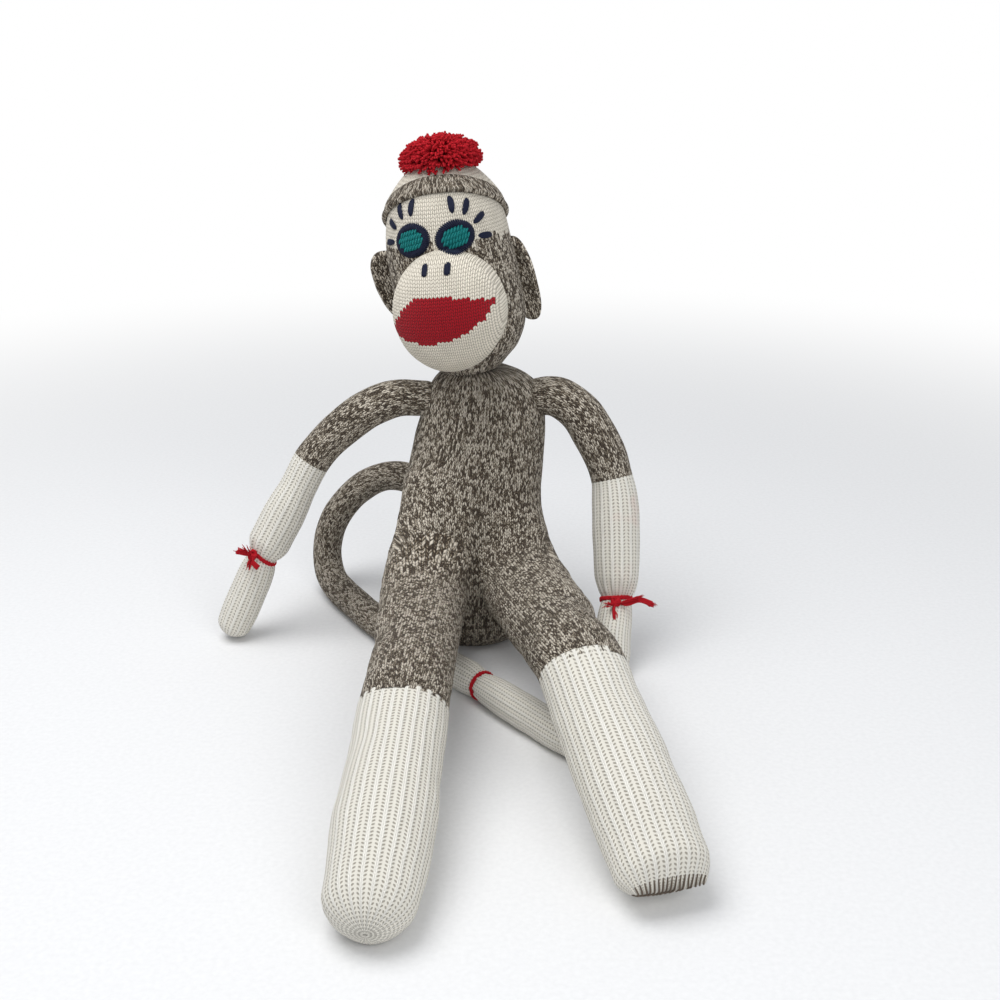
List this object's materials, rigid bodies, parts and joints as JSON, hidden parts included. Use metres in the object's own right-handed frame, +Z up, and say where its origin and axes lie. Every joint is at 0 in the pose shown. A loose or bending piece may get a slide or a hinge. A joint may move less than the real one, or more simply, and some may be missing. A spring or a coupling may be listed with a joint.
{
  "type": "sock monkey doll",
  "caption": "Stuffed sock doll of a monkey, sitting with its legs out in front, with cap and pompom, stitched face, flat ears and a long tail curled round its side.",
  "frame": {"origin": "middle of the flat patch under the torso that the doll sits on, on the table", "axes": "+Z up, -Y the way the doll faces and its legs point, +X towards the doll's left side"},
  "size_m": [0.2611, 0.3773, 0.299],
  "materials": {
    "brown_marl_sock": "matte marled stockinette knit",
    "cream_ribbed_sock": "matte ribbed knit",
    "fibre_stuffing": "loose fibre",
    "red_yarn": "matte wool yarn",
    "navy_floss": "satin embroidery floss",
    "teal_floss": "satin embroidery floss"
  },
  "bodies": {
    "body": {"torso": "brown_marl_sock", "torso_stuffing": "fibre_stuffing"},
    "neck": {"neck_gather": "brown_marl_sock", "neck_thread": "red_yarn"},
    "head": {"head": "brown_marl_sock", "head_stuffing": "fibre_stuffing", "muzzle": "cream_ribbed_sock", "muzzle_stuffing": "fibre_stuffing", "cap_crown": "cream_ribbed_sock", "cap_band": "brown_marl_sock", "pompom": "red_yarn", "right_nostril": "navy_floss", "left_nostril": "navy_floss", "right_eye_ring": "navy_floss", "right_eye_centre": "teal_floss", "right_lash_1": "navy_floss", "right_lash_2": "navy_floss", "right_lash_3": "navy_floss", "right_lash_4": "navy_floss", "left_eye_ring": "navy_floss", "left_eye_centre": "teal_floss", "left_lash_1": "navy_floss", "left_lash_2": "navy_floss", "left_lash_3": "navy_floss", "left_lash_4": "navy_floss"},
    "right_ear": {"right_ear": "brown_marl_sock"},
    "left_ear": {"left_ear": "brown_marl_sock"},
    "right_upper_arm": {"right_upper_arm": "brown_marl_sock"},
    "right_forearm": {"right_forearm": "cream_ribbed_sock", "right_wrist_tie": "red_yarn"},
    "right_hand": {"right_hand": "cream_ribbed_sock"},
    "left_upper_arm": {"left_upper_arm": "brown_marl_sock"},
    "left_forearm": {"left_forearm": "cream_ribbed_sock", "left_wrist_tie": "red_yarn"},
    "left_hand": {"left_hand": "cream_ribbed_sock"},
    "right_thigh": {"right_thigh": "brown_marl_sock", "right_thigh_stuffing": "fibre_stuffing"},
    "right_foot": {"right_foot": "cream_ribbed_sock", "right_foot_stuffing": "fibre_stuffing"},
    "left_thigh": {"left_thigh": "brown_marl_sock", "left_thigh_stuffing": "fibre_stuffing"},
    "left_foot": {"left_foot": "cream_ribbed_sock", "left_foot_stuffing": "fibre_stuffing"},
    "tail_root": {"tail_root": "brown_marl_sock"},
    "tail_arch": {"tail_arch": "brown_marl_sock"},
    "tail_middle": {"tail_middle": "brown_marl_sock"},
    "tail_end": {"tail_end": "cream_ribbed_sock", "tail_tie": "red_yarn"},
    "tail_tip": {"tail_tip": "cream_ribbed_sock"}
  },
  "joints": [
    {"name": "neck_turn", "type": "hinge", "parent": "body", "child": "neck", "pos_m": [-0.001, 0.025, 0.165], "axis": [0, 0, 1], "range_deg": [-60, 60]},
    {"name": "neck_nod", "type": "hinge", "parent": "neck", "child": "head", "pos_m": [-0.001, 0.025, 0.165], "axis": [1, 0, 0], "range_deg": [-20, 20]},
    {"name": "right_ear_flap", "type": "hinge", "parent": "head", "child": "right_ear", "pos_m": [-0.04216, 0.04867, 0.20894], "axis": [-0.1045, 0, 0.9945], "range_deg": [-20, 20]},
    {"name": "left_ear_flap", "type": "hinge", "parent": "head", "child": "left_ear", "pos_m": [0.02836, 0.03617, 0.21635], "axis": [-0.1045, 0, 0.9945], "range_deg": [-20, 20]},
    {"name": "right_shoulder", "type": "hinge", "parent": "body", "child": "right_upper_arm", "pos_m": [-0.02753, 0.022, 0.1465], "axis": [0, 1, 0], "range_deg": [-15, 70]},
    {"name": "right_elbow", "type": "hinge", "parent": "right_upper_arm", "child": "right_forearm", "pos_m": [-0.09773, 0.01213, 0.10944], "axis": [-0.8771, 0, 0.4803], "range_deg": [-15, 70]},
    {"name": "right_wrist", "type": "hinge", "parent": "right_forearm", "child": "right_hand", "pos_m": [-0.12871, -0.00186, 0.05286], "axis": [-0.9401, 0, 0.3409], "range_deg": [-20, 35]},
    {"name": "left_shoulder", "type": "hinge", "parent": "body", "child": "left_upper_arm", "pos_m": [0.03947, 0.022, 0.1465], "axis": [0, -1, 0], "range_deg": [-15, 70]},
    {"name": "left_elbow", "type": "hinge", "parent": "left_upper_arm", "child": "left_forearm", "pos_m": [0.08329, 0.00006, 0.10081], "axis": [-0.9992, 0, -0.039], "range_deg": [-15, 70]},
    {"name": "left_wrist", "type": "hinge", "parent": "left_forearm", "child": "left_hand", "pos_m": [0.0858, -0.02984, 0.03646], "axis": [-0.9922, 0, 0.1243], "range_deg": [-20, 35]},
    {"name": "right_hip", "type": "hinge", "parent": "body", "child": "right_thigh", "pos_m": [-0.023, -0.014, 0.038], "axis": [-0.9989, 0.0471, 0], "range_deg": [-1, 40]},
    {"name": "right_knee", "type": "hinge", "parent": "right_thigh", "child": "right_foot", "pos_m": [-0.03001, -0.16259, 0.04658], "axis": [-0.9981, 0.0611, 0], "range_deg": [-60, 15]},
    {"name": "left_hip", "type": "hinge", "parent": "body", "child": "left_thigh", "pos_m": [0.023, -0.014, 0.038], "axis": [-0.9728, -0.2317, 0], "range_deg": [-3, 40]},
    {"name": "left_knee", "type": "hinge", "parent": "left_thigh", "child": "left_foot", "pos_m": [0.05715, -0.15735, 0.06002], "axis": [-0.9617, -0.274, 0], "range_deg": [-10, 15]},
    {"name": "tail_root", "type": "hinge", "parent": "body", "child": "tail_root", "pos_m": [-0.01, 0.037, 0.0647], "axis": [0, 0, -1], "range_deg": [-2, 8]},
    {"name": "tail_arch", "type": "hinge", "parent": "tail_root", "child": "tail_arch", "pos_m": [-0.05812, 0.06478, 0.08063], "axis": [0, 0, -1], "range_deg": [-2, 8]},
    {"name": "tail_middle", "type": "hinge", "parent": "tail_arch", "child": "tail_middle", "pos_m": [-0.09914, 0.06679, 0.00862], "axis": [0, 0, -1], "range_deg": [-1, 10]},
    {"name": "tail_end", "type": "hinge", "parent": "tail_middle", "child": "tail_end", "pos_m": [-0.03222, -0.04115, 0.00862], "axis": [0, 0, -1], "range_deg": [-10, 8]},
    {"name": "tail_tip", "type": "hinge", "parent": "tail_end", "child": "tail_tip", "pos_m": [0.00976, -0.09012, 0.00862], "axis": [0, 0, 1], "range_deg": [-12, 25]}
  ]
}
